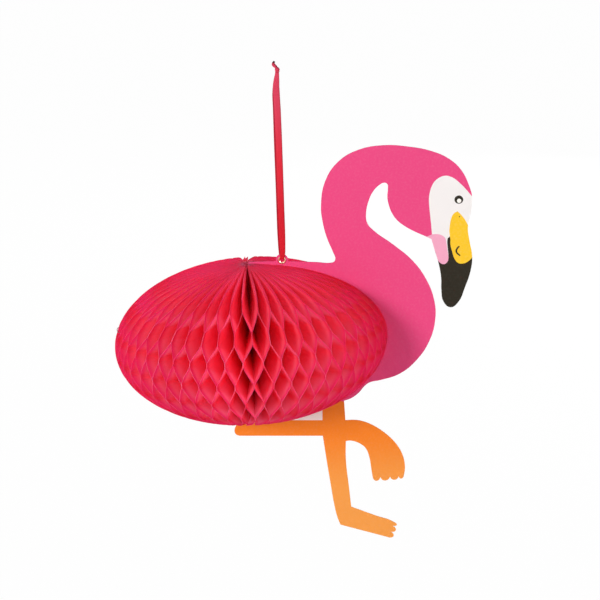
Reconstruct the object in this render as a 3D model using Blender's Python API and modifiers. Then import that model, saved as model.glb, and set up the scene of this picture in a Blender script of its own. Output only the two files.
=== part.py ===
# Honeycomb paper flamingo: a printed die-cut card bird whose body is a tissue honeycomb pad,
# opened all the way round the card's spine. It hangs from a doubled ribbon through an eyelet.
# Metres, +Z up, seen from -Y. The origin is where the ribbon loop is hung, under its knot.

from math import asin, cos, pi, radians, sin, sqrt

import bmesh
import bpy
from mathutils import Vector

MM = 0.001
FIT = 0.3 * MM                      # gap kept between pieces that touch

# Tissue body: a solid of revolution about a spine that leans to the left at its top
BODY_RADIUS = 136 * MM
BODY_HALF_HEIGHT = 78.5 * MM
BODY_TILT = radians(3.2)
SPINE_RADIUS = 4 * MM               # where the sheets' straight edges are bound
TISSUE = 0.16 * MM
SECTORS = 92                        # spaces between sheets in one full turn
GLUE_PITCH = 22 * MM                # from one row of glue lines to the next
GLUE_STRIP = 5 * MM                 # height of one line of glue
FAN_DEPTH = 20.3 * MM               # from the pole down to the top row: long open pleats
FAN = ((0.58, 0.55), (0.87, 0.3))   # way from the top row to the pole, share still pinched
BOTTOM_CLEAR = 2 * MM               # the lowest row stays this far above the bottom pole

# Card
CARD_THICKNESS = 0.5 * MM
CARD_ABOVE_POLE = 2.9 * MM          # the half oval's top stands out past the tissue's pole
CARD_CORNER = 2.4 * MM              # its top corner stands in from the spine's line
TAB_RADIUS = 6.3 * MM               # round lug that carries the eyelet
LEG_BAR_TOP = -84.2 * MM            # bent leg's edges, from the body's centre
LEG_BAR_HEIGHT = 16.5 * MM
LEG_BAR_END = 5 * MM                # radius of the bar's rounded left end
LEG_BAR_LEFT = -17.2 * MM
LEG_INNER_LEFT = 71.9 * MM          # where the bar's lower edge meets the standing leg

# Eyelet
EYELET_FROM_SPINE = 35.4 * MM
EYELET_ABOVE_RIM = 5.7 * MM         # its centre, above the tissue's rim
EYELET_BORE = 2.45 * MM             # radii
EYELET_WALL = 0.3 * MM
EYELET_FLANGE = 4.1 * MM
FLANGE_THICKNESS = 0.5 * MM

# Ribbon and knot
RIBBON_WIDTH = 6.35 * MM
RIBBON_THICKNESS = 0.3 * MM
RIBBON_PINCH = 0.47                 # share of its width left where it goes through the eyelet
RIBBON_DROP = 190.4 * MM            # eyelet's centre to the hanging point
RIBBON_LEAN = 4.3 * MM              # sideways, over that drop
RIBBON_BOW = 1.3 * MM               # how far each strand bows away from the other
RIBBON_IN_BORE = 1.15 * MM          # height of the strand above the bore's centre
RIBBON_STATIONS = 15                # points up each strand
KNOT_WIDTH = 6.6 * MM
KNOT_HEIGHT = 6 * MM
KNOT_DEPTH = 4.6 * MM
KNOT_ROUNDING = 0.08                # share of its height that the rounding takes off its foot
TAIL_LENGTH = 7.4 * MM
TAIL_WIDTH = 2.6 * MM
TAIL_THICKNESS = 1.0 * MM
TAIL_LEAN = 3.2 * MM

# Wire clip on the left rim
CLIP_SHEET = SECTORS // 2           # it grips the sheet opposite the card
CLIP_HEIGHT = 19 * MM               # above the body's middle
CLIP_SLANT = 1.6                    # its legs stand this much wider, as the sheet slants there
CLIP_WIRE = 0.35 * MM               # radius
CLIP_WIDTH = 3.8 * MM
CLIP_REACH = 10 * MM                # length on the sheets
CLIP_OUT = 2.4 * MM                 # the loop's length past the rim

PINK = (0.86, 0.08, 0.23, 1)
RED = (0.80, 0.02, 0.06, 1)
BRASS = (0.83, 0.68, 0.52, 1)
STEEL = (0.55, 0.45, 0.46, 1)


def clear_scene():
    for item in list(bpy.data.objects):
        bpy.data.objects.remove(item, do_unlink=True)


def collection(name):
    made = bpy.data.collections.new(name)
    bpy.context.scene.collection.children.link(made)
    return made


def material(name, colour, roughness, metallic=0.0):
    made = bpy.data.materials.new(name)
    made.use_nodes = True
    shader = made.node_tree.nodes["Principled BSDF"]
    shader.inputs["Base Color"].default_value = colour
    shader.inputs["Roughness"].default_value = roughness
    shader.inputs["Metallic"].default_value = metallic
    made.diffuse_color = colour
    return made


def add(name, data, finish, parent=None, location=(0, 0, 0), rotation=(0, 0, 0)):
    made = bpy.data.objects.new(name, data)
    parts.objects.link(made)
    made.location = location
    made.rotation_euler = rotation
    made.parent = parent
    if finish:
        data.materials.append(finish)
    return made


def upright(x, z):
    """A point given along and across the leaning spine, turned into the upright frame."""
    return x * cos(BODY_TILT) - z * sin(BODY_TILT), x * sin(BODY_TILT) + z * cos(BODY_TILT)


def rim_radius(z):
    return BODY_RADIUS * sqrt(max(0.0, 1 - (z / BODY_HALF_HEIGHT) ** 2))


def rim_height(x):
    return BODY_HALF_HEIGHT * sqrt(1 - (x / BODY_RADIUS) ** 2)


eyelet_x, eyelet_z = upright(EYELET_FROM_SPINE, rim_height(EYELET_FROM_SPINE) + EYELET_ABOVE_RIM)
BODY_CENTRE = Vector((RIBBON_LEAN - eyelet_x, 0, -RIBBON_DROP - eyelet_z))
EYELET = Vector((RIBBON_LEAN, 0, -RIBBON_DROP))


# Honeycomb: sheets fan out from the spine, and neighbours are glued in strips at a steady pitch.
# The top row joins sheets 1-2, 3-4 and so on, the next 0-1, 2-3 and so on, which opens the cells
# between. Sheets 0 and SECTORS lie flat on the card's two faces.

def glue_rows():
    rows = []
    height = BODY_HALF_HEIGHT - FAN_DEPTH
    while height - GLUE_STRIP / 2 > BOTTOM_CLEAR - BODY_HALF_HEIGHT:
        rows.append(height)
        height -= GLUE_PITCH
    return rows


def honeycomb_levels():
    """Heights at which the sheets bend, from the bottom pole up: height, row, share pinched."""
    rows = list(enumerate(glue_rows()))
    bottom_row, bottom_height = rows[-1]
    levels = [(-BODY_HALF_HEIGHT, bottom_row, 0.0), (bottom_height, bottom_row, 1.0)]
    for row, height in reversed(rows[:-1]):
        levels.append((height - GLUE_STRIP / 2, row, 1.0))
        levels.append((height + GLUE_STRIP / 2, row, 1.0))
    for way, pinch in FAN:
        levels.append((BODY_HALF_HEIGHT - FAN_DEPTH * (1 - way), 0, pinch))
    levels.append((BODY_HALF_HEIGHT, 0, 0.0))
    return levels


def sheet_place(sheet, row, pinch):
    """Where a sheet stands among the sectors, drawn towards the neighbour it is glued to."""
    if sheet in (0, SECTORS):
        return float(sheet)
    partner = sheet + 1 if (sheet + row) % 2 else sheet - 1
    if partner in (0, SECTORS):
        return sheet + pinch * (partner - sheet)
    return sheet + pinch * (partner - sheet) / 2


def place_at(sheet, height):
    """The same at any height, between two levels."""
    levels = honeycomb_levels()
    for lower, upper in zip(levels, levels[1:]):
        if lower[0] <= height <= upper[0]:
            share = (height - lower[0]) / (upper[0] - lower[0])
            return sheet_place(sheet, *lower[1:]) * (1 - share) + sheet_place(sheet, *upper[1:]) * share
    return float(sheet)


def sheet_point(place, radius, height):
    """The place is counted in sectors from the card's front face, clockwise seen from above."""
    off_card = CARD_THICKNESS / 2 + FIT + TISSUE / 2
    start = asin(off_card / radius)
    angle = start + (2 * pi - 2 * start) * place / SECTORS
    return Vector((radius * cos(angle), -radius * sin(angle), height))


def make_honeycomb(parent, finish):
    work = bmesh.new()
    levels = honeycomb_levels()
    known = {}

    def corner(sheet, level, outer):
        height, row, pinch = levels[level]
        if level in (0, len(levels) - 1):
            outer = False
        place = round(sheet_place(sheet, row, pinch), 4)
        key = (place, level, outer)
        if key not in known:
            radius = rim_radius(height) if outer else SPINE_RADIUS
            known[key] = work.verts.new(sheet_point(place, radius, height))
        return known[key]

    for sheet in range(SECTORS + 1):
        for level in range(len(levels) - 1):
            ring = [corner(sheet, level, False), corner(sheet, level, True),
                    corner(sheet, level + 1, True), corner(sheet, level + 1, False)]
            ring = list(dict.fromkeys(ring))
            if not work.faces.get(ring):
                work.faces.new(ring)
    mesh = bpy.data.meshes.new("honeycomb_body")
    work.to_mesh(mesh)
    work.free()
    body = add("honeycomb_body", mesh, finish, parent)
    wall = body.modifiers.new("tissue", "SOLIDIFY")
    wall.solidify_mode = "NON_MANIFOLD"
    wall.nonmanifold_thickness_mode = "FIXED"
    wall.nonmanifold_boundary_mode = "NONE"
    wall.nonmanifold_merge_threshold = 0.000001
    wall.thickness = TISSUE
    wall.offset = 0
    return body


# Card outline, in millimetres from the body's centre in the upright frame, clockwise from the
# spine's top. Each stretch is a run of smooth points; the corners between them are marked.

NECK_BACK = [(49.0, 81.7), (66.0, 81.2), (79.0, 80.5), (83.0, 81.8), (84.1, 85.3), (82.2, 90.6),
             (75.3, 107.4), (71.0, 124.6), (69.7, 138.8), (73.7, 164.2), (86.8, 184.5),
             (106.4, 196.4), (131.0, 201.1)]
HEAD = [(155.7, 199.8), (180.3, 194.8), (196.8, 187.1), (208.5, 176.1), (216.9, 159.2),
        (219.9, 147.6), (219.0, 134.2), (215.9, 116.5)]
BILL = [(217.4, 104.8), (220.6, 86.4), (219.2, 72.6), (213.9, 55.7), (206.6, 38.9), (199.5, 34.3),
        (192.5, 40.0), (190.1, 52.4), (189.8, 64.8), (187.0, 80.5), (183.3, 92.8)]
JAW = [(174.7, 107.5), (163.3, 112.6), (154.4, 117.5), (146.1, 123.8), (140.9, 130.6), (137.4, 138.9),
       (135.6, 148.0)]
THROAT = [(136.1, 157.4), (135.6, 161.4), (132.7, 162.9), (127.5, 160.5), (121.2, 153.6),
          (117.1, 144.4), (114.6, 132.0), (115.9, 121.3), (122.0, 114.0), (141.6, 99.5),
          (161.5, 82.4), (174.9, 63.5)]
CHEST = [(183.3, 41.1), (184.4, 22.1), (178.8, -0.5), (165.6, -21.3), (149.1, -35.2), (130.0, -41.8),
         (118.8, -44.4), (113.8, -48.2), (108.2, -55.0), (100.4, -61.0)]
KNEE = [(104.9, -83.9), (112.8, -85.4), (122.8, -89.6), (132.8, -96.2), (141.9, -104.3),
        (148.9, -113.3), (153.0, -121.9), (154.9, -130.3), (155.1, -136.5)]
SHIN_INSIDE = [(121.6, -139.3), (120.5, -131.9), (119.3, -124.5), (115.4, -114.0), (111.4, -110.2),
               (104.9, -106.9), (99.0, -105.8)]
STANDING_RIGHT = [(95.3, -125.6), (98.8, -157.2), (100.2, -169.9)]
FOOT_TOP = [(109.2, -179.4), (129.3, -186.9), (139.0, -189.9)]
SOLE = [(125.4, -205.4), (111.3, -201.5)]
STANDING_LEFT = [(86.7, -186.9), (84.1, -176.3), (79.1, -146.7), (76.0, -127.7)]

CHEEK = (179.8, 104.9)              # corner between the bill's rear edge and the jaw
HIP = (93.3, -63.6)                 # corner where the chest meets the standing leg
HIP_TO_BAR = 94.7                   # the leg's right edge where it meets the bar's upper edge
BACK_OF_KNEE = (95.2, -106.4)       # the leg's right edge where it leaves the bar's lower edge
INSTEP = (101.0, -176.3)            # corner between the leg and the foot's upper edge
HEEL = (90.0, -195.6)

# The ends of each row of toes, and each toe's width and how far its tip stands out.
RAISED_TOES = ((153.9, -143.8), (122.6, -145.0), ((5.0, 2.4), (8.8, 3.4), (9.8, 3.8), (7.8, 3.8)))
STANDING_TOES = ((144.2, -192.6), (140.0, -209.5), ((4.4, 3.8), (6.6, 4.2), (6.2, 3.6)))


def smooth(points):
    return [(x * MM, z * MM, "AUTO") for x, z in points]


def corner_at(x, z):
    return [(x * MM, z * MM, "VECTOR")]


def toes(first, last, widths):
    """Rounded toes along the end of a foot, between two corners, standing out to the left of
    the way from the first corner to the last."""
    start = Vector(first)
    run = Vector(last) - start
    out = Vector((-run.y, run.x)).normalized()
    across = sum(width for width, reach in widths)
    made = corner_at(*first)
    before = 0.0
    for width, reach in widths:
        for share, stand in ((0.2, 0.72), (0.52, 1.0), (0.84, 0.72)):
            at = start + run * (before + width * share) / across + out * reach * stand
            made.append((at.x * MM, at.y * MM, "AUTO"))
        before += width
        at = start + run * before / across
        made += corner_at(at.x, at.y)
    return made


def eyelet_tab():
    """The lug: an arc about the eyelet that stands on the half oval's upper edge."""
    arc = []
    for turn in (190, 150, 105, 60, 25, -10):
        handle = "VECTOR" if turn in (190, -10) else "AUTO"
        arc.append((eyelet_x + TAB_RADIUS * cos(radians(turn)),
                    eyelet_z + TAB_RADIUS * sin(radians(turn)), handle))
    return arc


def bar_end():
    """Left end of the bent leg, from its lower edge round to its upper edge."""
    bottom = LEG_BAR_TOP - LEG_BAR_HEIGHT
    middle = LEG_BAR_TOP - LEG_BAR_HEIGHT / 2
    left = LEG_BAR_LEFT
    return [(LEG_INNER_LEFT, bottom, "VECTOR"), (left + LEG_BAR_END, bottom, "VECTOR"),
            (left + LEG_BAR_END * 0.3, bottom + LEG_BAR_END * 0.3, "AUTO"),
            (left, bottom + LEG_BAR_END, "AUTO"), (left + LEG_BAR_END * 0.1, middle, "AUTO"),
            (left + LEG_BAR_END, LEG_BAR_TOP, "VECTOR")]


def card_outline():
    above = BODY_HALF_HEIGHT + CARD_ABOVE_POLE
    under = -(BODY_HALF_HEIGHT + FIT + TISSUE)
    outline = [(*upright(CARD_CORNER, above), "VECTOR")] + eyelet_tab()
    outline += smooth(NECK_BACK + HEAD + BILL) + corner_at(*CHEEK)
    outline += smooth(JAW + THROAT + CHEST) + corner_at(*HIP)
    outline.append((HIP_TO_BAR * MM, LEG_BAR_TOP, "VECTOR"))
    outline += smooth(KNEE) + toes(*RAISED_TOES) + smooth(SHIN_INSIDE)
    outline += corner_at(*BACK_OF_KNEE) + smooth(STANDING_RIGHT)
    outline += corner_at(*INSTEP) + smooth(FOOT_TOP) + toes(*STANDING_TOES) + smooth(SOLE)
    outline += corner_at(*HEEL) + smooth(STANDING_LEFT)
    outline += bar_end()
    outline.append((*upright(0, under), "VECTOR"))
    return outline


def add_spline(curve, points):
    spline = curve.splines.new("BEZIER")
    spline.bezier_points.add(len(points) - 1)
    spline.use_cyclic_u = True
    for knot, (x, z, handle) in zip(spline.bezier_points, points):
        knot.co = (x, z, 0)
        knot.handle_left_type = knot.handle_right_type = handle


def make_card(parent, finish):
    curve = bpy.data.curves.new("flamingo_card", "CURVE")
    curve.dimensions = "2D"
    curve.fill_mode = "BOTH"
    curve.resolution_u = 4
    curve.extrude = CARD_THICKNESS / 2
    add_spline(curve, card_outline())
    bore = EYELET_BORE + EYELET_WALL + FIT
    add_spline(curve, [(eyelet_x + bore * cos(turn), eyelet_z + bore * sin(turn), "AUTO")
                       for turn in (0, pi / 2, pi, 3 * pi / 2)])
    return add("flamingo_card", curve, finish, parent, rotation=(pi / 2, 0, 0))


def make_eyelet(finish):
    """A rolled eyelet: barrel through the card and a rounded flange on each face."""
    inside = CARD_THICKNESS / 2 + FIT
    outside = inside + FLANGE_THICKNESS
    barrel = EYELET_BORE + EYELET_WALL
    lip = FLANGE_THICKNESS / 2
    front = [(barrel, inside), (EYELET_FLANGE - lip * 0.6, inside), (EYELET_FLANGE, inside + lip * 0.8),
             (EYELET_FLANGE - lip, outside - lip * 0.3), (barrel + lip, outside),
             (EYELET_BORE + lip * 0.3, outside - lip * 0.6), (EYELET_BORE, inside)]
    ring = front + [(radius, -height) for radius, height in reversed(front)]
    mesh = bpy.data.meshes.new("eyelet")
    count = len(ring)
    mesh.from_pydata([(radius, 0, height) for radius, height in ring],
                     [(k, (k + 1) % count) for k in range(count)], [])
    eyelet = add("eyelet", mesh, finish, hanger, EYELET, (pi / 2, 0, 0))
    turned = eyelet.modifiers.new("turned", "SCREW")
    turned.axis = "Z"
    turned.steps = turned.render_steps = 24
    turned.use_merge_vertices = True
    turned.merge_threshold = 0.00001
    turned.use_normal_calculate = True
    return eyelet


# Ribbon: one strand comes down from the knot in front of the card, goes through the eyelet and
# goes back up behind it. The two strands stand apart at the card and close up at the knot.

def strand_offset(share):
    """Distance of a strand from the middle: share 0 is at the eyelet and 1 at the knot."""
    at_eyelet = CARD_THICKNESS / 2 + FIT + FLANGE_THICKNESS + FIT + RIBBON_THICKNESS / 2
    at_knot = KNOT_DEPTH / 5
    return at_eyelet + (at_knot - at_eyelet) * share + RIBBON_BOW * sin(pi * share)


def ribbon_route():
    """Points of one strand from the eyelet to the knot: position and share of full width."""
    low = RIBBON_IN_BORE
    top = RIBBON_DROP + KNOT_HEIGHT * KNOT_ROUNDING - FIT
    route = [(0.0, low, RIBBON_PINCH), (strand_offset(0) * 0.62, low + 0.15 * MM, RIBBON_PINCH),
             (strand_offset(0) * 0.95, low + 1.0 * MM, RIBBON_PINCH)]
    for station in range(RIBBON_STATIONS + 1):
        share = station / RIBBON_STATIONS
        rise = low + 3 * MM + (top - low - 3 * MM) * share
        width = min(1.0, RIBBON_PINCH + 0.14 + 4.5 * share, 0.55 + 14 * (1 - share))
        route.append((strand_offset(share), rise, width))
    return route


def make_ribbon(finish):
    half = ribbon_route()
    route = [(-away, rise, width) for away, rise, width in reversed(half)] + half[1:]
    work = bmesh.new()
    edges = []
    for away, rise, width in route:
        lean = RIBBON_LEAN * (1 - rise / RIBBON_DROP)
        edges.append([work.verts.new((lean + side * width * RIBBON_WIDTH / 2, away, rise - RIBBON_DROP))
                      for side in (-1, 1)])
    for (left, right), (next_left, next_right) in zip(edges, edges[1:]):
        work.faces.new((left, right, next_right, next_left))
    mesh = bpy.data.meshes.new("hanging_ribbon")
    work.to_mesh(mesh)
    work.free()
    ribbon = add("hanging_ribbon", mesh, finish, hanger)
    satin = ribbon.modifiers.new("satin", "SOLIDIFY")
    satin.thickness = RIBBON_THICKNESS
    satin.offset = 0
    return ribbon


def make_knot(finish):
    """A drawn-up overhand knot with its two ends cut short above it."""
    work = bmesh.new()
    cube = bmesh.ops.create_cube(work, size=1)["verts"]
    bmesh.ops.scale(work, verts=cube, vec=(KNOT_WIDTH, KNOT_DEPTH, KNOT_HEIGHT))
    bmesh.ops.translate(work, verts=cube, vec=(0, 0, KNOT_HEIGHT / 2))
    top = max(work.faces, key=lambda face: face.calc_center_median().z)
    collar = bmesh.ops.extrude_discrete_faces(work, faces=[top])["faces"][0]
    for step in (0.15, 1.0):
        middle = Vector((-TAIL_LEAN * step, 0, KNOT_HEIGHT + TAIL_LENGTH * step))
        for vert in collar.verts:
            side = 1 if vert.co.x > collar.calc_center_median().x else -1
            face_side = 1 if vert.co.y > 0 else -1
            vert.co = middle + Vector((side * TAIL_WIDTH / 2, face_side * TAIL_THICKNESS / 2, 0))
        if step < 1:
            collar = bmesh.ops.extrude_discrete_faces(work, faces=[collar])["faces"][0]
    mesh = bpy.data.meshes.new("ribbon_knot")
    work.to_mesh(mesh)
    work.free()
    knot = add("ribbon_knot", mesh, finish, hanger)
    soften = knot.modifiers.new("soften", "SUBSURF")
    soften.levels = soften.render_levels = 2
    return knot


# Clip: a hairpin of fine wire with one leg on each side of a sheet. Its round end stands out
# past the rim.

def make_clip(parent, finish):
    edge = rim_radius(CLIP_HEIGHT + CLIP_WIDTH / 2)
    aside = CLIP_SLANT * (TISSUE / 2 + FIT + CLIP_WIRE)
    bend = CLIP_WIDTH / 2
    straight = edge + CLIP_OUT - bend
    route = [(edge - CLIP_REACH, 1.0, bend), (straight - bend, 1.0, bend)]
    for step in range(7):
        turn = pi / 2 - pi * step / 6
        route.append((straight + bend * cos(turn), sin(turn), bend * sin(turn)))
    route += [(straight - bend, -1.0, -bend), (edge - CLIP_REACH, -1.0, -bend)]
    out = sheet_point(place_at(CLIP_SHEET, CLIP_HEIGHT), 1.0, 0.0)
    across = Vector((out.y, -out.x, 0))
    curve = bpy.data.curves.new("rim_clip", "CURVE")
    curve.dimensions = "3D"
    curve.bevel_depth = CLIP_WIRE
    curve.bevel_resolution = 2
    curve.use_fill_caps = True
    spline = curve.splines.new("POLY")
    spline.points.add(len(route) - 1)
    for knot, (radius, side, rise) in zip(spline.points, route):
        height = CLIP_HEIGHT + rise
        at = sheet_point(place_at(CLIP_SHEET, height), radius, height) + across * aside * side
        knot.co = (*at, 1)
    return add("rim_clip", curve, finish, parent)


clear_scene()
parts = collection("honeycomb_flamingo")
hanger = bpy.data.objects.new("hanging_point", None)
body_centre = bpy.data.objects.new("body_centre", None)
spine = bpy.data.objects.new("spine", None)
for empty, parent in ((hanger, None), (body_centre, hanger), (spine, body_centre)):
    parts.objects.link(empty)
    empty.parent = parent
body_centre.location = BODY_CENTRE
spine.rotation_euler = (0, -BODY_TILT, 0)

make_card(body_centre, material("pink card", PINK, 0.6))
make_honeycomb(spine, material("red tissue", RED, 0.8))
make_eyelet(material("eyelet metal", BRASS, 0.3, 1.0))
make_ribbon(material("red satin ribbon", RED, 0.4))
make_knot(material("red satin knot", RED, 0.4))
make_clip(spine, material("clip wire", STEEL, 0.35, 1.0))
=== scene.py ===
from math import cos, pi, radians, sin, sqrt

import bmesh
import bpy
from mathutils import Matrix, Vector
from mathutils.geometry import delaunay_2d_cdt


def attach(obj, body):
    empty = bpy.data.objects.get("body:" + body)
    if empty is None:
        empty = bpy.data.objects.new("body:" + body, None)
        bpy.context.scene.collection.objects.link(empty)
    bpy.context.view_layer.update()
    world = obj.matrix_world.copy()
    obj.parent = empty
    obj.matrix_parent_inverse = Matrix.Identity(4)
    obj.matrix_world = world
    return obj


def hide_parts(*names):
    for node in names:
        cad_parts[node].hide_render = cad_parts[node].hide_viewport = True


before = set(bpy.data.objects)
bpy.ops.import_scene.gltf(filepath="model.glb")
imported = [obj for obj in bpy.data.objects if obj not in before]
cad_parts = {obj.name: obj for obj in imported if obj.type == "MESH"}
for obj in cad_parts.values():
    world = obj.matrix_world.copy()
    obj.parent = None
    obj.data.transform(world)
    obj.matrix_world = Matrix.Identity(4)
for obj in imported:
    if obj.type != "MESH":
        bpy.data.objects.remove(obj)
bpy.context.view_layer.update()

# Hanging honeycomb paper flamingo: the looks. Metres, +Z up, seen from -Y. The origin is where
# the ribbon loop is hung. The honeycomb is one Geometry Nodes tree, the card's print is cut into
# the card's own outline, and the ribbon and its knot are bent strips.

mm = 0.001
print("frame loaded:", ", ".join(sorted(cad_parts)))


# Camera first: at the card one millimetre is one pixel of a 600 by 600 frame

view = {
    "elevation": 16,
    "distance": 4.0,
    "aim": (22.4 * mm, 0, -231.9 * mm),
    "lens": 240,
    "sensor": 36,
}


def addCamera():
    data = bpy.data.cameras.new("photoCamera")
    data.lens = view["lens"]
    data.sensor_width = view["sensor"]
    data.clip_end = 60
    camera = bpy.data.objects.new("photoCamera", data)
    bpy.context.scene.collection.objects.link(camera)
    rise = radians(view["elevation"])
    back = Vector((0, -cos(rise), sin(rise))) * view["distance"]
    camera.location = Vector(view["aim"]) + back
    camera.rotation_euler = (pi / 2 - rise, 0, 0)
    bpy.context.scene.camera = camera


# Small helpers for meshes and node trees

def link(name, mesh, *finishes):
    made = bpy.data.objects.new(name, mesh)
    bpy.context.scene.collection.objects.link(made)
    for finish in finishes:
        mesh.materials.append(finish)
    return made


def bake(piece):
    # Turns a piece with modifiers into a plain mesh
    graph = bpy.context.evaluated_depsgraph_get()
    solid = bpy.data.meshes.new_from_object(piece.evaluated_get(graph))
    piece.modifiers.clear()
    piece.data = solid
    return piece


def smoothPath(points, steps):
    # Catmull-Rom through points of any dimension
    path = []
    ends = [points[0]] + list(points) + [points[-1]]
    for before, start, end, after in zip(ends, ends[1:], ends[2:], ends[3:]):
        for step in range(steps):
            t = step / steps
            path.append(tuple(
                0.5 * (2 * b + (c - a) * t + (2 * a - 5 * b + 4 * c - d) * t * t
                       + (3 * b - a - 3 * c + d) * t * t * t)
                for a, b, c, d in zip(before, start, end, after)))
    path.append(tuple(points[-1]))
    return path


def calc(tree, operation, *values):
    # A Math node: each value is a number or another node's socket
    node = tree.nodes.new("ShaderNodeMath")
    node.operation = operation
    for slot, value in zip(node.inputs, values):
        if isinstance(value, bpy.types.NodeSocket):
            tree.links.new(value, slot)
        else:
            slot.default_value = value
    return node.outputs[0]


def mapRange(tree, value, fromLow, fromHigh, toLow=0.0, toHigh=1.0):
    node = tree.nodes.new("ShaderNodeMapRange")
    node.interpolation_type = "SMOOTHSTEP"
    tree.links.new(value, node.inputs["Value"])
    limits = {"From Min": fromLow, "From Max": fromHigh, "To Min": toLow, "To Max": toHigh}
    for name, number in limits.items():
        node.inputs[name].default_value = number
    return node.outputs["Result"]


def newFinish(name, colour, roughness):
    finish = bpy.data.materials.new(name)
    finish.use_nodes = True
    shader = finish.node_tree.nodes["Principled BSDF"]
    shader.inputs["Base Color"].default_value = (*colour, 1)
    shader.inputs["Roughness"].default_value = roughness
    finish.diffuse_color = (*colour, 1)
    return finish, finish.node_tree, shader


def srgb(code):
    # A colour written as six hexadecimal digits, made linear
    parts = [int(code[k:k + 2], 16) / 255 for k in (0, 2, 4)]
    return tuple(c / 12.92 if c <= 0.04045 else ((c + 0.055) / 1.055) ** 2.4 for c in parts)


def noiseOn(tree, coordinate, scale, detail, stretch=(1, 1, 1)):
    mapping = tree.nodes.new("ShaderNodeMapping")
    mapping.inputs["Scale"].default_value = stretch
    tree.links.new(coordinate, mapping.inputs["Vector"])
    noise = tree.nodes.new("ShaderNodeTexNoise")
    noise.inputs["Scale"].default_value = scale
    noise.inputs["Detail"].default_value = detail
    tree.links.new(mapping.outputs["Vector"], noise.inputs["Vector"])
    return noise.outputs["Fac"]


def mixColour(tree, factor, first, second):
    # Each colour is a tuple or another node's socket
    node = tree.nodes.new("ShaderNodeMix")
    node.data_type = "RGBA"
    tree.links.new(factor, node.inputs[0])
    for slot, value in ((node.inputs[6], first), (node.inputs[7], second)):
        if isinstance(value, bpy.types.NodeSocket):
            tree.links.new(value, slot)
        else:
            slot.default_value = (*value, 1)
    return node.outputs[2]


def addBump(tree, shader, height, strength, distance):
    bump = tree.nodes.new("ShaderNodeBump")
    bump.inputs["Strength"].default_value = strength
    bump.inputs["Distance"].default_value = distance
    tree.links.new(height, bump.inputs["Height"])
    tree.links.new(bump.outputs["Normal"], shader.inputs["Normal"])


# Ribbon: one strand down in front, through the eyelet and back up behind. The route's points
# are those of the model's own ribbon. Under aside, shares of the drop come with the millimetres
# that a strand stands beside that route.

ribbon = {
    "width": 6.35 * mm,
    "thickness": 0.28 * mm,
    "drop": 190.4 * mm,
    "lean": 4.3 * mm,
    "atEyelet": 1.5 * mm,
    "atKnot": 0.92 * mm,
    "bow": 1.3 * mm,
    "inBore": 1.15 * mm,
    "top": 190.58 * mm,
    "pinch": 0.64,
    "inKnot": 3.2 * mm,
    "cup": 0.75 * mm,
    "cupShare": {"front": 1.0, "back": -0.6},
    "twist": 0.12,
    "twistTurns": 2.2,
    "twistStart": {"front": 0.6, "back": 2.4},
    "across": 12,
    "aside": {
        "front": ((0.0, 0.0), (0.012, 0.2), (0.04, 1.1), (0.22, 0.7), (0.43, 0.3), (0.65, -0.1),
                  (0.81, -0.6), (0.88, -1.1), (0.93, -1.5), (0.96, -1.2), (1.0, -0.2)),
        "back": ((0.0, 0.0), (0.04, -0.4), (0.22, -0.9), (0.43, -1.3), (0.65, -1.8), (0.81, -2.0),
                 (0.88, -2.3), (0.92, -1.7), (0.96, -1.0), (1.0, -0.2)),
    },
    "colour": "E0222F",
    "shade": "C8142A",
    "light": "EE2F40",
    # painted sheen: paler and pinker towards the top; painted shade: darker towards the bottom
    "upper": "D9425F",
    "upperFade": (-100 * mm, -15 * mm, 0.0, 0.85),
    "lower": "D01628",
    "lowerFade": (-100 * mm, -150 * mm, 0.0, 0.8),
    # painted shade on the side of each strand turned to the other strand
    "inner": "A8102C",
    "paintedShadeShare": 0.6,
    # painted shade: the tips of the knot's tails are nearly black, for their shaded back side
    "shadedTip": "2A0A14",
    "shadedTipFade": (10.2 * mm, 11.4 * mm),
    "roughness": 0.45,
    "specular": 0.14,
    "sheen": 0.04,
    "sheenRoughness": 0.4,
    "weaveDistortion": 0.4,
    "slubStretch": (3, 0.15, 1),
    "weaveBump": (0.25, 0.06 * mm),
}


def strandRoute():
    # One strand from the eyelet up: away from the middle, height, share of the full width
    low = ribbon["inBore"]
    near = ribbon["atEyelet"]
    route = [(0.0, low, ribbon["pinch"]), (near * 0.62, low + 0.15 * mm, ribbon["pinch"]),
             (near * 0.95, low + 1.0 * mm, ribbon["pinch"])]
    stations = 15
    for station in range(stations + 1):
        share = station / stations
        away = near + (ribbon["atKnot"] - near) * share + ribbon["bow"] * sin(pi * share)
        rise = low + 3 * mm + (ribbon["top"] - low - 3 * mm) * share
        width = min(1.0, ribbon["pinch"] + 0.12 + 2.4 * share, 0.62 + 12 * (1 - share))
        route.append((away, rise, width))
    return route


def ribbonRoute():
    half = strandRoute()
    inside = [(0.62 * ribbon["atKnot"], ribbon["top"] + 0.7 * ribbon["inKnot"], 0.5),
              (0.0, ribbon["top"] + ribbon["inKnot"], 0.45)]
    front = [(-away, rise, width) for away, rise, width in half + inside]
    behind = [(away, rise, width) for away, rise, width in reversed(half + inside[:1])]
    return front + behind


def ribbonPoint(away, rise):
    lean = ribbon["lean"] * (1 - rise / ribbon["drop"])
    return Vector((lean, away, rise - ribbon["drop"]))


def between(stops, place):
    # The value at a place, from a list of places and their values
    for (low, first), (high, second) in zip(stops, stops[1:]):
        if place <= high:
            return first + (second - first) * (place - low) / (high - low)
    return stops[-1][1]


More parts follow.
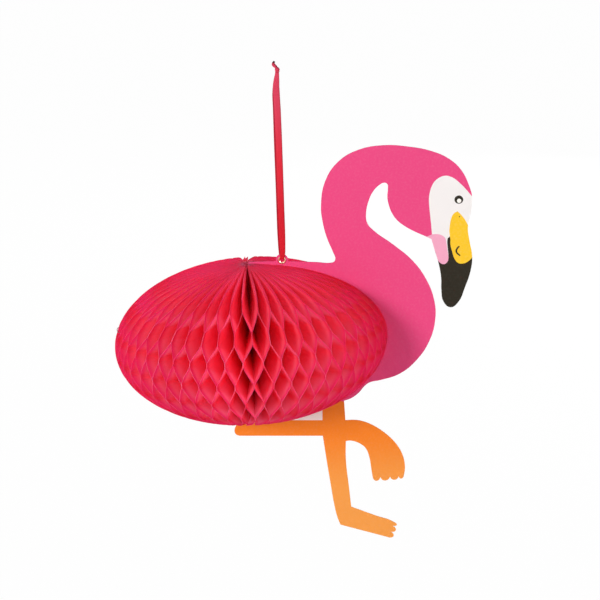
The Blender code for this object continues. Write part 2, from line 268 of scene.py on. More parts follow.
def satinFinish():
    finish, tree, shader = newFinish("redSatin", srgb(ribbon["colour"]), ribbon["roughness"])
    shader.inputs["Specular IOR Level"].default_value = ribbon["specular"]
    shader.inputs["Sheen Weight"].default_value = ribbon["sheen"]
    shader.inputs["Sheen Roughness"].default_value = ribbon["sheenRoughness"]
    uv = tree.nodes.new("ShaderNodeUVMap")
    uv.uv_map = "weave"
    weave = tree.nodes.new("ShaderNodeTexWave")
    weave.bands_direction = "Y"
    weave.inputs["Scale"].default_value = 1.0
    weave.inputs["Distortion"].default_value = ribbon["weaveDistortion"]
    tree.links.new(uv.outputs["UV"], weave.inputs["Vector"])
    slub = noiseOn(tree, uv.outputs["UV"], 1.0, 2, ribbon["slubStretch"])
    tone = mixColour(tree, slub, srgb(ribbon["shade"]), srgb(ribbon["light"]))
    place = tree.nodes.new("ShaderNodeTexCoord")
    parts = tree.nodes.new("ShaderNodeSeparateXYZ")
    tree.links.new(place.outputs["Object"], parts.inputs[0])
    facing = tree.nodes.new("ShaderNodeSeparateXYZ")
    tree.links.new(place.outputs["Normal"], facing.inputs[0])
    height = parts.outputs["Z"]
    # painted sheen towards the top and painted shade towards the bottom
    for part in ("upper", "lower"):
        fade = mapRange(tree, height, *ribbon[part + "Fade"])
        tone = mixColour(tree, fade, tone, srgb(ribbon[part]))
    # painted shade: the side turned to the other strand is darker, for the shade between the strands
    paintedShadeSide = calc(tree, "MULTIPLY", parts.outputs["Y"], facing.outputs["Y"])
    paintedShadeSide = calc(tree, "MULTIPLY", calc(tree, "LESS_THAN", paintedShadeSide, 0.0), ribbon["paintedShadeShare"])
    tone = mixColour(tree, paintedShadeSide, tone, srgb(ribbon["inner"]))
    # painted shade: the tails' tips darkened for their shaded back side
    shadedTipMask = mapRange(tree, height, *ribbon["shadedTipFade"])   # the cut end
    tone = mixColour(tree, shadedTipMask, tone, srgb(ribbon["shadedTip"]))
    tree.links.new(tone, shader.inputs["Base Color"])
    addBump(tree, shader, weave.outputs["Fac"], *ribbon["weaveBump"])
    return finish


def addStrip(work, frames, halfWidths, cups):
    # A bent strip: each frame is its middle, the way across and the way it faces
    weave = work.loops.layers.uv.get("weave") or work.loops.layers.uv.new("weave")
    rows = []
    along = 0.0
    for k, (middle, side, out) in enumerate(frames):
        if k:
            along += (middle - frames[k - 1][0]).length
        row = []
        for column in range(ribbon["across"] + 1):
            t = 2 * column / ribbon["across"] - 1
            vert = work.verts.new(middle + side * t * halfWidths[k] + out * cups[k] * (t ** 4 - 0.2))
            row.append((vert, t * halfWidths[k] / mm, along / mm))
        rows.append(row)
    for low, high in zip(rows, rows[1:]):
        for (a, b), (d, c) in zip(zip(low, low[1:]), zip(high, high[1:])):
            face = work.faces.new((a[0], b[0], c[0], d[0]))
            for loop, corner in zip(face.loops, (a, b, c, d)):
                loop[weave].uv = corner[1:]
            face.smooth = True


def finishMesh(name, work):
    mesh = bpy.data.meshes.new(name)
    work.to_mesh(mesh)
    work.free()
    return mesh


def thicken(piece, thickness):
    wall = piece.modifiers.new("thickness", "SOLIDIFY")
    wall.thickness = thickness
    wall.offset = 0
    return bake(piece)


def makeRibbon(satin):
    route = smoothPath(ribbonRoute(), 4)
    frames, halfWidths, cups = [], [], []
    middles = [ribbonPoint(away, rise) for away, rise, _ in route]
    for k, (away, rise, width) in enumerate(route):
        ahead = middles[min(k + 1, len(middles) - 1)] - middles[max(k - 1, 0)]
        share = min(max(rise / ribbon["drop"], 0), 1)
        strand = "front" if away < 0 else "back"
        wave = sin(ribbon["twistTurns"] * pi * share + ribbon["twistStart"][strand])
        turn = ribbon["twist"] * wave * sin(pi * share)
        side = Vector((cos(turn), sin(turn), 0))
        out = ahead.cross(side).normalized()
        side = out.cross(ahead).normalized()
        aside = between(ribbon["aside"][strand], share) * mm
        frames.append((middles[k] + Vector((aside, 0, 0)), side, out))
        halfWidths.append(width * ribbon["width"] / 2)
        cups.append(ribbon["cup"] * (0.3 + 0.7 * sin(pi * share)) * ribbon["cupShare"][strand])
    work = bmesh.new()
    addStrip(work, frames, halfWidths, cups)
    piece = link("hangingRibbon", finishMesh("hangingRibbon", work), satin)
    thicken(piece, ribbon["thickness"])
    path = [tuple(middle) for middle in middles]
    return piece, path


# Knot: each strand turns once round the other and leaves as a short cut tail. The routes are in
# millimetres.

knot = {
    "middle": (0.0, 0.0, 3.6 * mm),
    "halfWidth": 1.35 * mm,
    "tailHalfWidth": 1.15 * mm,
    "cup": 0.35 * mm,
    "thickness": 0.3 * mm,
    "leastHalfWidth": 0.2 * mm,
    "tailTurn": {"front": 1.0, "back": -0.8},
    "ease": 8,
    "front": [(0.0, -0.9, 0.3), (0.6, -1.5, 1.6), (1.7, -1.5, 3.0), (1.9, 0.2, 4.3), (0.5, 1.7, 4.5),
              (-1.3, 1.3, 3.6), (-1.9, -0.3, 2.8), (-0.9, -1.7, 2.7), (0.7, -1.9, 3.7),
              (1.3, -0.9, 5.1), (0.3, -0.3, 6.1), (-1.2, -0.5, 6.7)],
    "frontTail": [(-1.2, -0.5, 6.7), (-2.5, -0.7, 7.4), (-3.6, -0.8, 8.4), (-4.2, -0.8, 9.6),
                  (-3.7, -0.7, 11.0), (-2.6, -0.5, 12.3)],
    "back": [(0.0, 0.9, 0.3), (-0.6, 1.5, 1.5), (-1.7, 1.2, 2.6), (-1.9, -0.4, 3.9), (-0.6, -1.7, 4.6),
             (1.1, -1.5, 4.2), (1.9, 0.1, 3.2), (0.9, 1.6, 3.2), (-0.6, 1.5, 4.6), (-1.0, 0.6, 6.0)],
    "backTail": [(-1.0, 0.6, 6.0), (-2.0, 0.9, 7.3), (-3.1, 1.0, 8.6), (-3.7, 1.0, 9.9)],
}


def addKnotStrand(work, strand):
    # Round the knot the strip faces outwards, and along the tail it comes round to the front
    steps = 5
    wrapped = smoothPath(knot[strand], steps)
    loose = smoothPath(knot[strand + "Tail"], steps)[1:]
    turn = knot["tailTurn"][strand]
    path = [Vector(point) * mm for point in wrapped + loose]
    middle = Vector(knot["middle"])
    frames, halfWidths, cups = [], [], []
    for k, point in enumerate(path):
        ahead = (path[min(k + 1, len(path) - 1)] - path[max(k - 1, 0)]).normalized()
        along = min(max((k - len(wrapped)) / knot["ease"] + 0.5, 0), 1)
        share = max(k - len(wrapped), 0) / len(loose)
        facing = Vector((sin(turn * share), -cos(turn * share), 0.1))
        out = (point - middle).normalized().lerp(facing, along)
        side = ahead.cross(out).normalized()
        frames.append((point, side, side.cross(ahead)))
        wide = min(k / steps, 1) * knot["halfWidth"] * (1 - along) + knot["tailHalfWidth"] * along
        halfWidths.append(wide + knot["leastHalfWidth"])
        cups.append(-knot["cup"] * (1 - 0.4 * along))
    addStrip(work, frames, halfWidths, cups)


def makeKnot(satin):
    work = bmesh.new()
    addKnotStrand(work, "front")
    addKnotStrand(work, "back")
    piece = link("ribbonKnot", finishMesh("ribbonKnot", work), satin)
    return thicken(piece, knot["thickness"])


addCamera()
satin = satinFinish()
ribbonPiece, ribbonPath = makeRibbon(satin)
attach(ribbonPiece, "root")
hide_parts("hanging_ribbon")
knotPiece = makeKnot(satin)
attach(knotPiece, "root")
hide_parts("ribbon_knot")


# Tissue honeycomb: the sheets fan out from the leaning spine. A curve over the height says which
# neighbour a sheet leans to, and the lines of glue are its flats. Noises are given as their
# speed round the fan, up the body and outwards, and then from sheet to sheet.

tissue = {
    "radius": 136.8 * mm,
    "halfHeight": 78.5 * mm,
    "tilt": 3.2,
    "eyeletFromSpine": 35.4 * mm,
    "eyeletAboveRim": 5.7 * mm,
    "outlineRadius": 136 * mm,
    "spine": 3.9 * mm,
    "sectors": 92,
    "offCard": 0.63 * mm,
    "fanDepth": 20.3 * mm,
    "gluePitch": 22 * mm,
    "glueStrips": (3.4 * mm, 10.0 * mm, 5.6 * mm, 4.0 * mm, 4.4 * mm, 5.0 * mm, 4.0 * mm),
    "fan": ((0.3, 0.78), (0.58, 0.56), (0.87, 0.3), (1.0, 0.0)),
    "pinch": 0.965,
    "thickness": 0.26 * mm,
    "levels": 110,
    "depths": 4,
    "depthCurve": 0.75,
    "endLatitude": 88.2,
    "uneven": 0.6,
    "unevenNoise": (0.31, 6.0, 0.0),
    "flutter": 0.10,
    "flutterNoise": (0.9, 55.0, 22.0),
    "kink": 0.07,
    "kinkNoise": (0.0, 420.0, 60.0, 7.3),
    "peak": 1.4 * mm,
    "peakReach": (2 * mm, 34 * mm, 1.0, 0.0),
    "peakHeights": (40 * mm, 78 * mm),
    "flatSheets": (23.0, 69.0),
    "frontGap": 0.45,
    "frontMiddle": 22.5,
    "gapHeights": (46 * mm, 68 * mm),
    "curl": 1.6,
    "curlReach": (5 * mm, 42 * mm),
    "curls": ((69.0, 50 * mm, 70 * mm), (23.0, -60 * mm, -74 * mm)),
    "nearFall": -0.3,
    "sway": 0.008,
    "seed": 4.0,
    "calmEnds": (0.0, 5.0),
    "bendReach": (0.35, 1.0),
    "flatReach": (0.5, 4.0),
    "sharpEdge": 35,
    # painted light and shade: the walls are paler deeper into the cells, to light the deep cells that
    # the lamps barely reach, and the band at the rim is darker
    "rim": (0.92, 0.12, 0.37),
    "paintedLightDeep": (0.99, 0.42, 0.57),
    "deepFrom": (0.5, 9.0),
    "edge": (1.0, 0.15, 0.34),
    "edgeLight": (1.0, 0.2, 0.34),
    "edgeShade": 0.8,
    "dullEdge": (0.9, 0.05, 0.14),
    "dullHeights": (36 * mm, 60 * mm),
    "dullShare": 0.5,
    "fibre": (1.0, 0.25, 0.4),
    "fibreScale": 260,
    "fibreFade": (0.3, 0.75, 0.0, 0.10),
    "cloud": (0.95, 0.05, 0.08),
    "cloudScale": 35,
    "cloudFade": (0.35, 0.7, 0.0, 0.12),
    "patchScale": 45,
    "patchFade": (0.4, 0.62),
    "frayScale": 900,
    "bump": (0.3, 0.3 * mm),
    "edgeBump": (0.3, 0.1 * mm),
    "through": 0.85,
}


def centreOfBody():
    # From the eyelet, which hangs straight below the ribbon, to the body's middle
    fromSpine, tilt = tissue["eyeletFromSpine"], radians(tissue["tilt"])
    rimHeight = tissue["halfHeight"] * sqrt(1 - (fromSpine / tissue["outlineRadius"]) ** 2)
    along = rimHeight + tissue["eyeletAboveRim"]
    across = fromSpine * cos(tilt) - along * sin(tilt)
    up = fromSpine * sin(tilt) + along * cos(tilt)
    return Vector((ribbon["lean"] - across, 0, -ribbon["drop"] - up))


bodyCentre = centreOfBody()


def leanCurve(node):
    # +1 leans to the partner of the even rows, -1 to that of the odd rows, over the height
    half = tissue["halfHeight"]
    stops = []
    for way, share in reversed(tissue["fan"]):
        stops.append((half - tissue["fanDepth"] * (1 - way), share))
    height = half - tissue["fanDepth"]
    for row, strip in enumerate(tissue["glueStrips"]):
        lean = -1.0 if row % 2 else 1.0
        stops.append((height + strip / 2, lean))
        stops.append((height - strip / 2, lean))
        height -= tissue["gluePitch"]
    stops = [stop for stop in stops if stop[0] > 1 * mm - half] + [(-half, 0.0)]
    curve = node.mapping.curves[0]
    places = [((z / half + 1) / 2, (lean + 1) / 2) for z, lean in sorted(stops)]
    curve.points[0].location = places[0]
    curve.points[1].location = places[-1]
    for place in places[1:-1]:
        curve.points.new(*place)
    for point in curve.points:
        point.handle_type = "VECTOR"
    node.mapping.update()


def honeycombTree(finish):
    tree = bpy.data.node_groups.new("honeycombSheets", "GeometryNodeTree")
    sizes = {
        "Radius": tissue["radius"], "Half Height": tissue["halfHeight"], "Spine": tissue["spine"],
        "Off Card": tissue["offCard"], "Pinch": tissue["pinch"], "Uneven": tissue["uneven"],
        "Flutter": tissue["flutter"], "Kink": tissue["kink"], "Peak": tissue["peak"],
        "Front Gap": tissue["frontGap"], "Curl": tissue["curl"], "Sway": tissue["sway"],
        "Seed": tissue["seed"],
    }
    tree.interface.new_socket(name="Sheets", in_out="INPUT", socket_type="NodeSocketInt")
    for name in sizes:
        tree.interface.new_socket(name=name, in_out="INPUT", socket_type="NodeSocketFloat")
    tree.interface.new_socket(name="Geometry", in_out="OUTPUT", socket_type="NodeSocketGeometry")
    new = tree.nodes.new
    join = tree.links.new
    given = new("NodeGroupInput").outputs
    radius, half, spine = given["Radius"], given["Half Height"], given["Spine"]

    # one flat sheet, 1 by 1: x runs from the spine to the rim and y up the spine
    grid = new("GeometryNodeMeshGrid")
    grid.inputs["Vertices X"].default_value = tissue["depths"]
    grid.inputs["Vertices Y"].default_value = tissue["levels"]
    stack = new("GeometryNodeMeshLine")
    join(given["Sheets"], stack.inputs["Count"])
    stack.inputs["Offset"].default_value = (0, 0, 0)
    number = new("GeometryNodeStoreNamedAttribute")
    number.data_type = "FLOAT"
    number.inputs["Name"].default_value = "sheet"
    join(stack.outputs["Mesh"], number.inputs["Geometry"])
    join(new("GeometryNodeInputIndex").outputs[0], number.inputs["Value"])
    copies = new("GeometryNodeInstanceOnPoints")
    join(number.outputs[0], copies.inputs["Points"])
    join(grid.outputs["Mesh"], copies.inputs["Instance"])
    real = new("GeometryNodeRealizeInstances")
    join(copies.outputs[0], real.inputs[0])

    place = new("ShaderNodeSeparateXYZ")
    join(new("GeometryNodeInputPosition").outputs[0], place.inputs[0])
    depth = calc(tree, "ADD", place.outputs["X"], 0.5)
    depth = calc(tree, "POWER", depth, tissue["depthCurve"])
    sheet = new("GeometryNodeInputNamedAttribute")
    sheet.data_type = "FLOAT"
    sheet.inputs["Name"].default_value = "sheet"
    sheet = sheet.outputs["Attribute"]

    # height and radius on the oval outline
    latitude = calc(tree, "MULTIPLY", place.outputs["Y"], 2 * radians(tissue["endLatitude"]))
    height = calc(tree, "MULTIPLY", calc(tree, "SINE", latitude), half)
    rim = calc(tree, "MULTIPLY", calc(tree, "COSINE", latitude), radius)
    reach = calc(tree, "MULTIPLY_ADD", depth, calc(tree, "SUBTRACT", rim, spine), spine)

    # which way the sheet leans here
    level = calc(tree, "MULTIPLY_ADD", calc(tree, "DIVIDE", height, half), 0.5, 0.5)
    curve = new("ShaderNodeFloatCurve")
    leanCurve(curve)
    join(level, curve.inputs["Value"])
    lean = calc(tree, "MULTIPLY_ADD", curve.outputs[0], 2.0, -1.0)
    lean = calc(tree, "MULTIPLY", lean, given["Pinch"])
    odd = calc(tree, "MODULO", sheet, 2.0)
    way = calc(tree, "MULTIPLY_ADD", odd, 2.0, -1.0)
    last = calc(tree, "SUBTRACT", given["Sheets"], 1.0)
    isSecond = calc(tree, "COMPARE", sheet, 1.0, 0.1)
    isLastButOne = calc(tree, "COMPARE", sheet, calc(tree, "SUBTRACT", last, 1.0), 0.1)
    inner = calc(tree, "MULTIPLY", calc(tree, "GREATER_THAN", sheet, 0.5),
                 calc(tree, "LESS_THAN", sheet, calc(tree, "SUBTRACT", last, 0.5)))
    toFront = calc(tree, "MULTIPLY", isSecond, calc(tree, "LESS_THAN", lean, 0.0))
    toBack = calc(tree, "MULTIPLY", isLastButOne, calc(tree, "GREATER_THAN", lean, 0.0))
    gain = calc(tree, "MULTIPLY_ADD", calc(tree, "ADD", toFront, toBack), 0.5, 0.5)
    gain = calc(tree, "MULTIPLY", gain, inner)
    moved = calc(tree, "MULTIPLY", calc(tree, "MULTIPLY", lean, way), gain)
    sector = calc(tree, "ADD", sheet, moved)

    # hand-opened paper: spaces vary a little, walls bend and the rim has small kinks
    def unevenness(amount, speed, heights, depths, own=0.0):
        spot = new("ShaderNodeCombineXYZ")
        along = calc(tree, "MULTIPLY_ADD", sheet, own, calc(tree, "MULTIPLY", sector, speed))
        join(calc(tree, "ADD", along, given["Seed"]), spot.inputs["X"])
        join(calc(tree, "MULTIPLY", height, heights), spot.inputs["Y"])
        join(calc(tree, "MULTIPLY", reach, depths), spot.inputs["Z"])
        noise = new("ShaderNodeTexNoise")
        noise.inputs["Scale"].default_value = 1.0
        noise.inputs["Detail"].default_value = 1.0
        join(spot.outputs[0], noise.inputs["Vector"])
        return calc(tree, "MULTIPLY", calc(tree, "SUBTRACT", noise.outputs["Fac"], 0.5), amount)

    fromEnd = calc(tree, "MINIMUM", sector, calc(tree, "SUBTRACT", last, sector))
    ends = mapRange(tree, fromEnd, *tissue["calmEnds"])
    outer = mapRange(tree, depth, *tissue["bendReach"])
    spread = unevenness(given["Uneven"], *tissue["unevenNoise"])
    bend = calc(tree, "MULTIPLY", unevenness(given["Flutter"], *tissue["flutterNoise"]), outer)
    kinks = calc(tree, "MULTIPLY", unevenness(given["Kink"], *tissue["kinkNoise"]), outer)
    extra = calc(tree, "ADD", calc(tree, "ADD", spread, bend), kinks)

    # the top pleats part a little in the middle of the front
    def nearness(middle):
        away = calc(tree, "ABSOLUTE", calc(tree, "SUBTRACT", sheet, middle))
        return calc(tree, "EXPONENT", calc(tree, "MULTIPLY", away, tissue["nearFall"]))

    side = calc(tree, "SIGN", calc(tree, "SUBTRACT", sheet, tissue["frontMiddle"]))
    parting = calc(tree, "MULTIPLY", side, nearness(tissue["frontMiddle"]))
    parting = calc(tree, "MULTIPLY", parting, mapRange(tree, height, *tissue["gapHeights"]))
    extra = calc(tree, "MULTIPLY_ADD", parting, given["Front Gap"], extra)

    # and curl to one side, behind at the top and in front at the foot
    outward = mapRange(tree, reach, *tissue["curlReach"])
    for middle, low, high in tissue["curls"]:
        curl = calc(tree, "MULTIPLY", nearness(middle), mapRange(tree, height, low, high))
        extra = calc(tree, "MULTIPLY_ADD", calc(tree, "MULTIPLY", curl, outward), given["Curl"], extra)
    sector = calc(tree, "ADD", sector, calc(tree, "MULTIPLY", extra, ends))

    start = calc(tree, "ARCSINE", calc(tree, "DIVIDE", given["Off Card"], reach))
    sweep = calc(tree, "SUBTRACT", 2 * pi, calc(tree, "MULTIPLY", start, 2.0))
    angle = calc(tree, "MULTIPLY_ADD", calc(tree, "DIVIDE", sector, last), sweep, start)
    # the tips stand up a little round the upper pole, except in the middle of each face
    top = mapRange(tree, reach, *tissue["peakReach"])
    top = calc(tree, "MULTIPLY", calc(tree, "MULTIPLY", top, top), given["Peak"])
    top = calc(tree, "MULTIPLY", top, mapRange(tree, height, *tissue["peakHeights"]))
    for middle in tissue["flatSheets"]:
        aside = calc(tree, "ABSOLUTE", calc(tree, "SUBTRACT", sheet, middle))
        top = calc(tree, "MULTIPLY", top, mapRange(tree, aside, *tissue["flatReach"]))
    sway = calc(tree, "MULTIPLY", height, given["Sway"])
    spot = new("ShaderNodeCombineXYZ")
    join(calc(tree, "MULTIPLY_ADD", reach, calc(tree, "COSINE", angle), sway), spot.inputs["X"])
    turned = calc(tree, "MULTIPLY", reach, calc(tree, "SINE", angle))
    join(calc(tree, "MULTIPLY", turned, -1.0), spot.inputs["Y"])
    join(calc(tree, "ADD", height, top), spot.inputs["Z"])

    depthNote = new("GeometryNodeStoreNamedAttribute")
    depthNote.data_type = "FLOAT"
    depthNote.inputs["Name"].default_value = "fromRim"
    join(real.outputs[0], depthNote.inputs["Geometry"])
    inside = calc(tree, "MULTIPLY", calc(tree, "SUBTRACT", rim, reach), 1 / mm)
    join(inside, depthNote.inputs["Value"])
    shaped = new("GeometryNodeSetPosition")
    join(depthNote.outputs[0], shaped.inputs["Geometry"])
    join(spot.outputs[0], shaped.inputs["Position"])
    leaned = new("GeometryNodeTransform")
    join(shaped.outputs[0], leaned.inputs["Geometry"])
    leaned.inputs["Rotation"].default_value = (0, -radians(tissue["tilt"]), 0)
    leaned.inputs["Translation"].default_value = bodyCentre
    allReal = new("GeometryNodeRealizeInstances")
    join(leaned.outputs[0], allReal.inputs[0])
    dressed = new("GeometryNodeSetMaterial")
    dressed.inputs["Material"].default_value = finish
    join(allReal.outputs[0], dressed.inputs["Geometry"])
    join(dressed.outputs[0], new("NodeGroupOutput").inputs[0])
    return tree, sizes


def tissueFinish():
    # Thin dyed paper: each wall also glows a little with the light behind it
    finish, tree, shader = newFinish("redTissue", tissue["rim"], 0.85)
    shader.inputs["Specular IOR Level"].default_value = 0.2
    place = tree.nodes.new("ShaderNodeTexCoord").outputs["Object"]
    note = tree.nodes.new("ShaderNodeAttribute")
    note.attribute_name = "fromRim"
    # painted light and shade: paler deeper in from the rim, darker at the rim
    depth = mapRange(tree, note.outputs["Fac"], *tissue["deepFrom"])   # millimetres from the rim
    colour = mixColour(tree, depth, tissue["rim"], tissue["paintedLightDeep"])
    fibre = noiseOn(tree, place, tissue["fibreScale"], 3)
    cloud = noiseOn(tree, place, tissue["cloudScale"], 2)
    colour = mixColour(tree, mapRange(tree, fibre, *tissue["fibreFade"]), colour, tissue["fibre"])
    colour = mixColour(tree, mapRange(tree, cloud, *tissue["cloudFade"]), colour, tissue["cloud"])
    tree.links.new(colour, shader.inputs["Base Color"])
    addBump(tree, shader, fibre, *tissue["bump"])
    glow = tree.nodes.new("ShaderNodeBsdfTranslucent")
    tree.links.new(colour, glow.inputs["Color"])
    mix = tree.nodes.new("ShaderNodeMixShader")
    mix.inputs[0].default_value = tissue["through"]
    tree.links.new(shader.outputs[0], mix.inputs[1])
    tree.links.new(glow.outputs[0], mix.inputs[2])
    tree.links.new(mix.outputs[0], tree.nodes["Material Output"].inputs["Surface"])
    return finish


def tissueRimFinish():
    # The cut edges: dull in patches and towards the top
    finish, tree, shader = newFinish("tissueCutEdge", tissue["edge"], 0.9)
    place = tree.nodes.new("ShaderNodeTexCoord").outputs["Object"]
    fray = noiseOn(tree, place, tissue["frayScale"], 2)
    darker = tuple(tissue["edgeShade"] * c for c in tissue["edge"])
    colour = mixColour(tree, fray, darker, tissue["edgeLight"])
    patch = noiseOn(tree, place, tissue["patchScale"], 2)
    colour = mixColour(tree, mapRange(tree, patch, *tissue["patchFade"]), colour, tissue["dullEdge"])
    parts = tree.nodes.new("ShaderNodeSeparateXYZ")
    tree.links.new(place, parts.inputs[0])
    low, high = (bodyCentre.z + height for height in tissue["dullHeights"])
    top = mapRange(tree, parts.outputs["Z"], low, high, 0.0, tissue["dullShare"])
    colour = mixColour(tree, top, colour, tissue["dullEdge"])
    tree.links.new(colour, shader.inputs["Base Color"])
    addBump(tree, shader, fray, *tissue["edgeBump"])
    return finish


def makeHoneycomb():
    finish, rimFinish = tissueFinish(), tissueRimFinish()
    tree, sizes = honeycombTree(finish)
    piece = link("honeycombBody", bpy.data.meshes.new("honeycombBody"))
    sheets = piece.modifiers.new("sheets", "NODES")
    sheets.node_group = tree
    sizes["Sheets"] = tissue["sectors"] + 1
    for socket in tree.interface.items_tree:
        if socket.in_out == "INPUT":
            sheets[socket.identifier] = sizes[socket.name]
    bake(piece)
    piece.data.materials.clear()
    piece.data.materials.append(finish)
    piece.data.materials.append(rimFinish)
    wall = piece.modifiers.new("tissue", "SOLIDIFY")
    wall.thickness = tissue["thickness"]
    wall.offset = 0
    wall.material_offset_rim = 1
    bake(piece)
    for face in piece.data.polygons:
        face.use_smooth = True
    piece.data.set_sharp_from_angle(angle=radians(tissue["sharpEdge"]))
    return piece


body = makeHoneycomb()
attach(body, "root")
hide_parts("honeycomb_body")
print("honeycomb made:", len(body.data.polygons), "faces")


# Card: the model's own outline, with the fields of its print cut into it. The fields are in
# millimetres from the body's middle, as the outline is.

card = {
    "thickness": 0.5 * mm,
    "pink": "ED4A84",
    "orangeHigh": "F28020",
    "orangeLow": "F69E48",
    "bare": "FBEFEA",
    "face": "F6F2F0",
    "yellow": "FDCB2A",
    "dark": "2B261C",
    "cheek": "F6ABC6",
    "eyeWhite": "FFFDF6",
    "cutEdge": "C9688F",
    "grainScale": 420,
    "cloudScale": 14,
    "cloudShade": 0.72,
    "cloudFade": (0.35, 0.7),
    "grainFade": (0.4, 0.8),
    "ink": 0.03,
    "speck": (0.95, 0.93, 0.9),
    "legSpeck": (0.95, 0.9, 0.8),
    "legFade": (-90 * mm, -165 * mm),
    "inkRoughness": 0.6,
    "inkSpecular": 0.12,
    "inkBump": (0.12, 0.2 * mm),
    "hipLine": [(71.5, -58.7), (95.4, -65.3)],
    "barTop": -84.2,
    "bareCorner": (-60.0, -62.9),
    "creaseWidth": 1.75,
}
farOut = 300.0   # past every edge of the card

fieldPoints = {
    "face": [(219.5, 149.0), (213.1, 156.8), (207.3, 162.7), (201.5, 167.5), (196.6, 169.6),
             (193.6, 170.1), (189.6, 169.4), (185.2, 166.9), (181.7, 163.4), (179.1, 158.2),
             (177.6, 152.7), (176.9, 146.3), (177.3, 138.5), (178.3, 129.4), (179.4, 119.2),
             (180.2, 110.5)],
    "faceRest": [(180.0, 60.0), (farOut, 60.0), (farOut, 149.0)],
    "cheek": [(170.0, 105.0), (174.9, 107.3), (179.7, 109.6), (182.4, 110.1), (187.2, 109.9),
              (191.6, 108.0), (194.0, 104.9), (194.9, 99.8), (196.0, 92.0), (196.9, 85.3),
              (196.1, 81.9), (194.1, 79.7), (191.3, 79.1), (188.6, 80.5), (186.5, 82.5), (182.0, 86.0)],
    "darkEdge": [(199.0, 105.6), (198.3, 107.6), (197.5, 107.3), (195.9, 105.4), (195.5, 101.5),
                 (196.0, 95.9), (196.6, 90.3), (196.9, 85.3), (196.1, 81.9), (194.1, 79.7),
                 (191.3, 79.1), (188.6, 80.5), (186.5, 82.5), (182.0, 86.0)],
    "darkRest": [(183.0, 78.0), (187.5, 58.0), (188.5, 20.0), (farOut, 20.0), (farOut, 86.5),
                 (221.0, 86.5), (205.0, 95.0)],
    "bill": [(205.4, 133.5), (201.9, 131.6), (199.5, 127.5), (198.2, 121.6), (197.5, 114.7),
             (197.8, 109.2), (198.7, 104.9), (198.7, 99.5), (200.3, 92.6), (202.2, 86.4),
             (204.4, 82.3), (207.2, 80.1), (210.2, 79.6), (214.0, 80.5),
             (217.8, 83.0), (220.4, 85.8), (224.0, 89.0)],
    "billRest": [(farOut, 89.0), (farOut, 113.0)],
    "billRight": [(219.0, 113.0), (216.5, 118.3), (213.1, 124.8), (210.4, 128.5), (207.7, 131.6)],
    "crease": [(207.7, 97.7), (205.8, 95.8), (204.7, 93.3), (205.4, 90.6), (208.6, 87.8)],
}

spots = {
    "eye": ((206.6, 145.6), (4.4, 4.25)),
    "eyeWhite": ((206.9, 144.4), (2.2, 2.2)),
    "nostril": ((207.4, 128.0), (0.62, 0.62)),
}


def inFrame(points):
    # Millimetres from the body's middle to metres in the frame, as x and z
    return [(bodyCentre.x + x * mm, bodyCentre.z + z * mm) for x, z in points]


def spotRing(centre, radii, count=28):
    turns = [2 * pi * k / count for k in range(count)]
    return [(centre[0] + radii[0] * cos(turn), centre[1] + radii[1] * sin(turn)) for turn in turns]


def strokeRing(points, width):
    # The outline of a pen stroke that tapers a little to its round ends
    path = [Vector(point) for point in smoothPath(points, 4)]
    left, right = [], []
    for k, point in enumerate(path):
        ahead = (path[min(k + 1, len(path) - 1)] - path[max(k - 1, 0)]).normalized()
        share = k / (len(path) - 1)
        half = width / 2 * (0.45 + 0.55 * sin(pi * min(max(share, 0.02), 0.98)) ** 0.5)
        side = Vector((-ahead.y, ahead.x)) * half
        left.append(tuple(point + side))
        right.append(tuple(point - side))
    return left + right[::-1]


def printFields():
    # In the order they are printed: a later field covers an earlier one
    hipLine = card["hipLine"]
    hipX, hipEnd = hipLine[0][0], hipLine[1][1]
    barTop = card["barTop"]
    bareLeft, bareTop = card["bareCorner"]
    legs = hipLine + [(farOut, hipEnd), (farOut, -farOut), (-farOut, -farOut), (-farOut, barTop),
                      (hipX, barTop)]
    bare = [(bareLeft, bareTop), (hipX, bareTop), (hipX, barTop), (bareLeft, barTop)]
    face = smoothPath(fieldPoints["face"], 3) + fieldPoints["faceRest"]
    dark = smoothPath(fieldPoints["darkEdge"], 3) + fieldPoints["darkRest"]
    bill = smoothPath(fieldPoints["bill"], 3) + fieldPoints["billRest"]
    bill += smoothPath(fieldPoints["billRight"] + fieldPoints["bill"][:1], 3)[:-1]
    return [
        ("bareBoard", bare), ("orangeLegs", legs), ("paleFace", face),
        ("paleCheek", smoothPath(fieldPoints["cheek"], 3)), ("darkBill", dark), ("yellowBill", bill),
        ("darkBill", strokeRing(fieldPoints["crease"], card["creaseWidth"])),
        ("darkBill", spotRing(*spots["nostril"], 12)), ("darkBill", spotRing(*spots["eye"])),
        ("eyeWhite", spotRing(*spots["eyeWhite"], 20)),
    ]


def leftTurning(ring):
    # The same ring, counter-clockwise
    area = sum(a[0] * b[1] - b[0] * a[1] for a, b in zip(ring, ring[1:] + ring[:1]))
    return ring if area > 0 else ring[::-1]


def edgeLoops(node):
    # The outline and the eyelet's hole on the card's front face, as closed loops of x and z
    work = bmesh.new()
    work.from_mesh(node.data)
    bmesh.ops.remove_doubles(work, verts=work.verts, dist=0.00001)
    front = {face for face in work.faces if face.normal.y < -0.99}
    steps = {}
    for edge in work.edges:
        if sum(face in front for face in edge.link_faces) == 1:
            for vert in edge.verts:
                steps.setdefault(vert, []).append(edge.other_vert(vert))
    loops = []
    while steps:
        start = next(iter(steps))
        loop, before, here = [], None, start
        while here in steps:
            loop.append((here.co.x, here.co.z))
            onward = [vert for vert in steps.pop(here) if vert is not before]
            before, here = here, onward[0]
        loops.append(loop)
    work.free()
    return sorted(loops, key=len, reverse=True)


